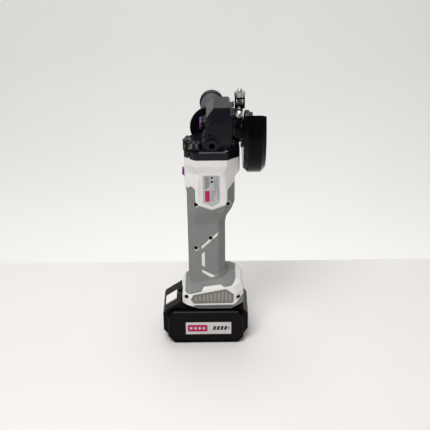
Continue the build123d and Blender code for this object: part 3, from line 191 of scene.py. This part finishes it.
def latch_finish():
    """The pale button; its arm, further along +X, is the black of the pack."""
    m = surface("latch_plastic", tone(238, 234, 230), 0.42, vary=0.05, bump=0.3)
    nt = m.node_tree
    arm = worked(nt, "GREATER_THAN", along_axis(nt, object_place(nt), "X"), LATCH_ARM_X * MM)
    paint_over(nt, arm, tone(16, 15, 19))
    return m


RING_Y0 = 48.0             # first moulded ring of the side handle's grip
RING_PITCH = 90.0 / 16
GROOVE_SHARE = 0.30        # part of each pitch that is groove, where shade is painted


def grip_rubber_with_groove_shade():
    """Rubber with painted shade: darker in the grooves between the grip's moulded rings."""
    m = surface("handle_rubber", tone(74, 74, 79), 0.50, vary=0.12, bump=0.7, depth=0.00012,
                specular=0.2)
    nt = m.node_tree
    y = along_axis(nt, object_place(nt), "Y")
    rings = mapped(nt, y, RING_Y0 * MM, (RING_Y0 + RING_PITCH) * MM, clamp=False)
    ring_groove_shade = worked(nt, "LESS_THAN", worked(nt, "FRACT", rings), GROOVE_SHARE)
    # painted shade: the grooves between the rings are near black
    paint_over(nt, ring_groove_shade, tone(14, 14, 16))
    return m


FINISH = {
    "white_shell": surface("white_shell", tone(231, 228, 225), 0.38, vary=0.02, bump=0.25,
                           depth=0.00006, specular=0.3),
    "grey_rubber": surface("grey_rubber", tone(130, 133, 131), 0.70, vary=0.06, bump=0.6,
                           depth=0.0001, grain=2200, specular=0.3),
    "black_steel": surface("black_steel", tone(28, 28, 30), 0.36, metallic=0.8, vary=0.15),
    "vent_plastic": surface("vent_plastic", tone(130, 126, 121), 0.62, vary=0.10, dust=0.25,
                            specular=0.3),
    "plate_metal": surface("plate_metal", tone(188, 188, 190), 0.42, metallic=0.3, vary=0.04,
                           scratches=900),
    "cast_case": surface("cast_case", tone(14, 16, 24), 0.30, vary=0.20, bump=0.8,
                         depth=0.00012, grain=1100, specular=0.22),
    "zinc_steel": surface("zinc_steel", tone(206, 208, 206), 0.28, metallic=0.95, vary=0.12,
                          patch=220),
    "bright_steel": surface("bright_steel", tone(186, 186, 188), 0.26, metallic=1.0, vary=0.08,
                            scratches=1400),
    "dull_steel": surface("dull_steel", tone(120, 120, 122), 0.45, metallic=0.9, vary=0.14),
    "bronze": surface("bronze", tone(172, 138, 90), 0.4, metallic=0.9, vary=0.12),
    "copper": surface("copper", tone(184, 106, 62), 0.35, metallic=0.85, vary=0.15,
                      scratches=1800),
    "black_plastic": surface("black_plastic", tone(7, 7, 9), 0.36, vary=0.20, bump=0.3,
                             specular=0.14),
    "board": surface("board", tone(30, 92, 58), 0.5, vary=0.15),
    "contact_brass": surface("contact_brass", tone(200, 168, 104), 0.3, metallic=0.95, vary=0.1),
    "purple_plastic": surface("purple_plastic", tone(112, 30, 124), 0.34, vary=0.10, bump=0.2,
                              specular=0.4),
    "spring_steel": surface("spring_steel", tone(170, 170, 172), 0.3, metallic=1.0, vary=0.1),
    "guard_paint": surface("guard_paint", tone(3, 3, 4), 0.14, vary=0.30, bump=0.2,
                           depth=0.00006, specular=0.08),
    "handle_rubber": grip_rubber_with_groove_shade(),
    "battery_plastic": surface("battery_plastic", tone(10, 6, 10), 0.32, vary=0.25, bump=0.7,
                               depth=0.0001, grain=1300, specular=0.1),
    "cell_sleeve": surface("cell_sleeve", tone(62, 108, 160), 0.4, vary=0.06),
    "label": surface("label", tone(208, 206, 202), 0.42, vary=0.03, specular=0.4),
    "latch_plastic": latch_finish(),
}
INK = surface("ink_dark", tone(40, 38, 42), 0.5, vary=0.12, bump=0.05, specular=0.3)
MAGENTA = surface("ink_magenta", tone(178, 22, 88), 0.45, vary=0.06, bump=0.05, specular=0.3)
INK_GREY = surface("ink_grey", tone(104, 104, 108), 0.5, bump=0.05, specular=0.3)
RIB_DARK = surface("rib_dark", tone(44, 42, 44), 0.45, vary=0.15, bump=0.3, specular=0.2)
# darker rubber of the chin ribs: painted shade between the ribs
RIB_SHADE_RUBBER = surface("chin_rib_shade", tone(72, 75, 74), 0.75, vary=0.08, bump=0.3, specular=0.2)
BEIGE = surface("duct_beige", tone(150, 138, 122), 0.6, vary=0.15, dust=0.2, specular=0.3)
FILTER = surface("filter_felt", tone(178, 171, 162), 0.85, vary=0.16, patch=900.0, bump=0.9,
                 depth=0.0002, specular=0.2)

# nodes that are darker than the plated or bright steel of their slots
DARK_ZINC = surface("zinc_blackened", tone(52, 50, 50), 0.34, metallic=0.85, vary=0.2, patch=220)
DARK_NODES = ("bearing_box_screws", "guard_rivets", "lock_nut", "inner_flange")
for row in frame["record"]["subparts"]:
    node = row["node"]
    nodes[node].data.materials.clear()
    nodes[node].data.materials.append(
        DARK_ZINC if node in DARK_NODES else FINISH[row["material_slot"]])


# ---------------------------------------------------------------- how small pieces are made
def piece(name, mesh, body, finish):
    """A finished mesh as an object that rides on a CAD body."""
    obj = bpy.data.objects.new(name, mesh)
    bpy.context.scene.collection.objects.link(obj)
    obj.data.materials.append(finish)
    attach(obj, body)
    return obj


def mesh_from(bm, name):
    """A bmesh as a mesh, its normals pointing outwards."""
    bmesh.ops.recalc_face_normals(bm, faces=bm.faces)
    mesh = bpy.data.meshes.new(name)
    bm.to_mesh(mesh)
    bm.free()
    return mesh


def prism(bm, low, high):
    """A closed solid between two outlines with equally many vertices."""
    bm.faces.new(low[::-1])
    bm.faces.new(high)
    for i in range(len(low)):
        j = (i + 1) % len(low)
        bm.faces.new((low[i], low[j], high[j], high[i]))


def slab(bm, outline, frame_at, thick):
    """A flat polygon of some thickness; frame_at turns its local x, y, z into the row frame."""
    low, high = [
        [bm.verts.new(frame_at @ Vector((x * MM, y * MM, z * MM))) for x, y in outline]
        for z in (0, thick)
    ]
    prism(bm, low, high)


def bar(bm, a, b, across, half_w, half_t):
    """A straight bar from a to b: half_w either side along the unit axis across, and half_t
    either side square to it."""
    a, b = Vector(a) * MM, Vector(b) * MM
    across = Vector(across)
    out = (b - a).normalized().cross(across).normalized()
    corners = [across * sx * half_w * MM + out * st * half_t * MM
               for sx, st in ((-1, -1), (1, -1), (1, 1), (-1, 1))]
    low, high = [[bm.verts.new(end + c) for c in corners] for end in (a, b)]
    prism(bm, low, high)


def box_outline(x0, x1, y0, y1, lean=0.0):
    """A rectangle that leans to the right by lean."""
    return [(x0, y0), (x1, y0), (x1 + lean, y1), (x0 + lean, y1)]


CORNER_STEPS = 5


def round_outline(x0, x1, y0, y1, r):
    """A rectangle with rounded corners."""
    points = []
    corners = ((x1 - r, y0 + r, -90), (x1 - r, y1 - r, 0), (x0 + r, y1 - r, 90),
               (x0 + r, y0 + r, 180))
    for cx, cy, start in corners:
        for k in range(CORNER_STEPS + 1):
            t = math.radians(start + 90 * k / CORNER_STEPS)
            points.append((cx + r * math.cos(t), cy + r * math.sin(t)))
    return points


def dashed_columns(columns, runs, width, gap):
    """Upright dashed lines, each given by its x, start and stop; the dashes take their lengths
    from runs in turn."""
    outlines = []
    for column, (x, start, stop) in enumerate(columns):
        z = start
        step = 0
        while z < stop:
            run = runs[(step + column) % len(runs)]
            outlines.append(box_outline(x, x + width, z, min(z + run, stop)))
            z += run + gap
            step += 1
    return outlines


def facing_front(y):
    """Local x = +X, local y = +Z, local z = -Y, at Y = y in millimetres."""
    return Matrix(((1, 0, 0, 0), (0, 0, -1, y * MM), (0, 1, 0, 0), (0, 0, 0, 1)))


INK_T = 0.08


def marks(name, outlines, y, body, finish):
    """Printed marks of one colour, on a face at Y = y that looks at the camera."""
    bm = bmesh.new()
    for outline in outlines:
        slab(bm, outline, facing_front(y), INK_T)
    piece(name, mesh_from(bm, name), body, finish)


WIRE_SIDES = 8
COIL_STEPS = 24            # steps in one turn of a spring


def coil_mesh(name, foot, along, side, radius, wire, length, turns):
    """A compression spring from foot, along a unit axis; side is a unit axis square to it, and
    wire is the wire's radius."""
    foot, along, side = Vector(foot), Vector(along), Vector(side)
    other = along.cross(side)
    steps = int(turns * COIL_STEPS)
    bm = bmesh.new()
    rings = []
    for k in range(steps + 1):
        share = k / steps
        t = 2 * math.pi * turns * share
        out = side * math.cos(t) + other * math.sin(t)
        centre = foot + out * radius + along * (wire + (length - 2 * wire) * share)
        ring = []
        for n in range(WIRE_SIDES):
            a = 2 * math.pi * n / WIRE_SIDES
            offset = out * wire * math.cos(a) + along * wire * math.sin(a)
            ring.append(bm.verts.new((centre + offset) * MM))
        rings.append(ring)
    for first, second in zip(rings, rings[1:]):
        for n in range(WIRE_SIDES):
            after = (n + 1) % WIRE_SIDES
            bm.faces.new((first[n], first[after], second[after], second[n]))
    bm.faces.new(rings[0])
    bm.faces.new(rings[-1])
    return mesh_from(bm, name)


# ---------------------------------------------------------------- printed marks
# battery label: a plain band with four dots, and a slanted charge sign of four bars and a tip
BAND = round_outline(-37.6, -8.6, 19.6, 31.2, 2.2)
DOT_X, DOT_SIZE, DOT_PITCH, DOT_Z = -34.4, 3.8, 6.2, 23.5
BAR_X, BAR_END, BAR_PITCH = -1.0, 2.8, 5.4
BAR_Z, BAR_LEAN = (22.2, 28.8), 1.6
CHARGE_BARS = [box_outline(BAR_X + BAR_PITCH * n, BAR_END + BAR_PITCH * n, *BAR_Z, BAR_LEAN)
               for n in range(4)]
CHARGE_TIP = box_outline(21.6, 23.2, 24.0, 27.0, 0.4)
DOTS = [round_outline(DOT_X + DOT_PITCH * n, DOT_X + DOT_SIZE + DOT_PITCH * n,
                      DOT_Z, DOT_Z + DOT_SIZE, 1.8)
        for n in range(4)]
label_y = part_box("battery_label")[0][1] / MM
marks("label_band", [BAND], label_y, "battery", MAGENTA)
marks("label_bars", CHARGE_BARS + [CHARGE_TIP], label_y, "battery", INK)
marks("label_dots", DOTS, label_y - INK_T, "battery", FINISH["label"])

# rating plate: a band and rows of plain dashes, read from the side as on the tool
PLATE_BAND = round_outline(-9.2, -2.8, 229.6, 246.0, 1.2)
BOLD_COLUMNS = [(-9.0, 249, 267), (-7.4, 249, 266), (-5.8, 250, 267), (-4.2, 252, 266)]
SIGNS = [round_outline(-1.6, 2.0, 257.4, 261.0, 1.7), round_outline(-1.4, 1.8, 263.4, 266.6, 1.5)]
FINE_COLUMNS = [(3.4, 240, 266), (4.9, 240, 262), (6.4, 246, 266), (7.9, 232, 266),
                (-0.8, 231, 247), (0.7, 229, 246), (2.2, 230, 247), (9.2, 234, 250)]
bold_dashes = dashed_columns(BOLD_COLUMNS, (1.5, 2.6, 0.9, 1.9), 0.85, 0.55)
fine_dashes = dashed_columns(FINE_COLUMNS, (2.1, 0.9, 1.4, 3.0), 0.6, 0.7)
plate_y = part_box("rating_plate")[0][1] / MM
marks("plate_band", [PLATE_BAND], plate_y, "tool", MAGENTA)
marks("plate_marks", bold_dashes + SIGNS, plate_y, "tool", INK)
marks("plate_lines", fine_dashes, plate_y, "tool", INK_GREY)

# ---------------------------------------------------------------- ribs, felt, springs and liner
# ribs on both chins of the foot, up the sloping face; their darker rubber is painted shade of the
# ribbed face
CHIN_RIBS, CHIN_X0, CHIN_PITCH = 23, -24.0, 2.4
CHIN_LOW = (34.75, 60.6)   # distance from the middle, and height
CHIN_HIGH = (36.4, 64.1)
CHIN_RIB_HALF = (0.5, 0.25)  # half its width and half its thickness
bm = bmesh.new()
for side in (-1, 1):
    for n in range(CHIN_RIBS):
        x = CHIN_X0 + CHIN_PITCH * n
        low, high = [(x, side * y, z) for y, z in (CHIN_LOW, CHIN_HIGH)]
        bar(bm, low, high, (1, 0, 0), *CHIN_RIB_HALF)
piece("chin_ribs", mesh_from(bm, "chin_ribs"), "tool", RIB_SHADE_RUBBER)

# grip ribs on the pack's hump, on both sides of the latch button
HUMP_RIBS_Y = (-28.0, -25.0, -22.0, -19.0, 12.0, 15.0, 18.0, 21.0, 24.0, 27.0)
HUMP_LOW, HUMP_HIGH = (-69.4, 52.24), (-49.0, 65.96)  # X and Z of each rib's ends
HUMP_RIB_HALF = (0.75, 0.3)
bm = bmesh.new()
for y in HUMP_RIBS_Y:
    low, high = [(x, y, z) for x, z in (HUMP_LOW, HUMP_HIGH)]
    bar(bm, low, high, (0, 1, 0), *HUMP_RIB_HALF)
piece("hump_ribs", mesh_from(bm, "hump_ribs"), "battery", RIB_DARK)

# filter felt just behind each intake grille
FELT = [(-31.6, 74.1), (-27.9, 81.3), (18.6, 90.3), (29.3, 82.9), (29.4, 71.1), (27.4, 67.4),
        (-27.0, 66.7)]
FELT_T = 0.6
FILTERS = (
    # name, grille, which corner of the grille's box lies inside the foot, where the felt starts
    # from there; it is built up from its start towards -Y
    ("filter_right", "intake_grille_right", 1, FELT_T + 0.04),
    ("filter_left", "intake_grille_left", 0, -0.02),
)
for name, row, inside, start in FILTERS:
    inner_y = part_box(row)[inside][1] / MM
    bm = bmesh.new()
    slab(bm, FELT, facing_front(inner_y + start), FELT_T)
    piece(name, mesh_from(bm, name), "tool", FILTER)

# coil springs of the buttons, drawn in place of their CAD springs, which are hidden
COILS = (
    # name, CAD node, body, joint,
    # foot, axis, side, radius, wire, length, turns, travel, fixed end
    ("lock_coil", "lock_spring", "tool", "spindle_lock_press",
     (-11.1, -9.5, 334.0), (1, 0, 0), (0, 1, 0), 3.1, 0.3, 5.8, 2.5, 3.6, (-5.3, -9.5, 334.0)),
    ("latch_coil", "latch_spring", "battery", "latch_press",
     (-58.0, -3.0, 46.0), (0, 0, 1), (1, 0, 0), 3.1, 0.4, 8.2, 3.5, 4.0, (-58.0, -3.0, 46.0)),
)
for (name, row, body, joint,
     foot, along, side, radius, wire, length, turns, travel, fixed) in COILS:
    mesh = coil_mesh(name, foot, along, side, radius, wire, length, turns)
    coil = piece(name, mesh, body, FINISH["spring_steel"])
    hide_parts(row)
    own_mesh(coil)

# liner in the near exhaust hood, just clear of the duct's inner wall
LINER = box_outline(-30.8, -17.2, 302.2, 310.2)
LINER_Y, LINER_T = -23.6, 0.8
bm = bmesh.new()
slab(bm, LINER, facing_front(LINER_Y), LINER_T)
piece("duct_liner", mesh_from(bm, "duct_liner"), "tool", BEIGE)


# ---------------------------------------------------------------- floor and wall, in metres
def plain(name, colour, rough):
    """A nearly even painted finish."""
    return surface(name, colour, rough, vary=0.012, patch=3.0, grain=300.0, bump=0.03)


def stage_quad(name, corners, finish):
    """One flat piece of the surroundings, which isn't part of the object."""
    mesh = bpy.data.meshes.new(name)
    mesh.from_pydata(corners, [], [tuple(range(len(corners)))])
    obj = bpy.data.objects.new(name, mesh)
    bpy.context.scene.collection.objects.link(obj)
    obj.data.materials.append(finish)


TABLE_X, TABLE_FRONT_Y = 3, -3
TABLE_EDGE_Y = 0.203       # the table's far edge, where the wall shows behind it
EDGE_RUN, EDGE_DROP = 0.004, 0.03
WALL_X, WALL_Y, WALL_Z0, WALL_Z1 = 5, 1.4, -2.5, 3

table_finish = plain("table", tone(229, 226, 223), 0.5)
wall_finish = plain("wall", tone(240, 240, 237), 0.85)
stage_quad("floor", [(-TABLE_X, TABLE_FRONT_Y, 0), (TABLE_X, TABLE_FRONT_Y, 0),
                     (TABLE_X, TABLE_EDGE_Y, 0), (-TABLE_X, TABLE_EDGE_Y, 0)], table_finish)
stage_quad("floor_edge", [(-TABLE_X, TABLE_EDGE_Y, 0), (TABLE_X, TABLE_EDGE_Y, 0),
                          (TABLE_X, TABLE_EDGE_Y + EDGE_RUN, -EDGE_DROP),
                          (-TABLE_X, TABLE_EDGE_Y + EDGE_RUN, -EDGE_DROP)], table_finish)
stage_quad("wall", [(-WALL_X, WALL_Y, WALL_Z0), (WALL_X, WALL_Y, WALL_Z0),
                    (WALL_X, WALL_Y, WALL_Z1), (-WALL_X, WALL_Y, WALL_Z1)], wall_finish)

# ---------------------------------------------------------------- light and camera, in metres
SKY_STRENGTH = 0.34
SKY_BELOW = (0.30, 0.30, 0.31, 1.0)
SKY_ABOVE = (1.0, 0.995, 0.985, 1.0)

world = bpy.data.worlds.new("world")
bpy.context.scene.world = world
world.use_nodes = True
sky = world.node_tree
background = sky.nodes["Background"]
background.inputs["Strength"].default_value = SKY_STRENGTH
direction = sky.nodes.new("ShaderNodeTexCoord").outputs["Generated"]
shades = sky.nodes.new("ShaderNodeValToRGB")
below, above = shades.color_ramp.elements
below.position, above.position = 0.0, 0.95
below.color, above.color = SKY_BELOW, SKY_ABOVE
sky.links.new(mapped(sky, along_axis(sky, direction, "Z"), -1.0, 1.0), shades.inputs["Fac"])
sky.links.new(shades.outputs["Color"], background.inputs["Color"])


def softbox(name, place, target, size, power):
    """A rectangular lamp that looks at target."""
    lamp = bpy.data.lights.new(name, "AREA")
    lamp.shape = "RECTANGLE"
    lamp.size, lamp.size_y = size
    lamp.energy = power
    obj = bpy.data.objects.new(name, lamp)
    bpy.context.scene.collection.objects.link(obj)
    obj.location = place
    obj.rotation_euler = (Vector(target) - Vector(place)).to_track_quat("-Z", "Y").to_euler()


TOOL_MIDDLE = (0, 0, 0.2)
softbox("key", (-0.35, -0.85, 1.7), TOOL_MIDDLE, (0.9, 0.7), 24)
softbox("top", (0.1, 0.35, 1.8), TOOL_MIDDLE, (1.2, 0.7), 10)
softbox("wall_light", (0, 0.55, -1.1), (0, WALL_Y, -0.2), (3.0, 0.8), 17)

# the camera of the photograph, solved from the table and the pack
IMAGE_PX = 430
FOCAL_PX = 850
SENSOR_MM = 36.0
CAMERA_PLACE = (0.004, -1.0709, 0.7354)
CAMERA_DOWN = 26.9         # degrees below the horizon
CAMERA_ROLL = -0.6

cam = bpy.data.cameras.new("camera")
cam.sensor_width = SENSOR_MM
cam.lens = FOCAL_PX / IMAGE_PX * SENSOR_MM
cam.clip_start = 0.01
camera = bpy.data.objects.new("camera", cam)
bpy.context.scene.collection.objects.link(camera)
camera.matrix_world = (
    Matrix.Translation(CAMERA_PLACE)
    @ Matrix.Rotation(math.radians(90 - CAMERA_DOWN), 4, "X")
    @ Matrix.Rotation(math.radians(CAMERA_ROLL), 4, "Z")
)
bpy.context.scene.camera = camera
bpy.context.scene.view_settings.view_transform = "Standard"
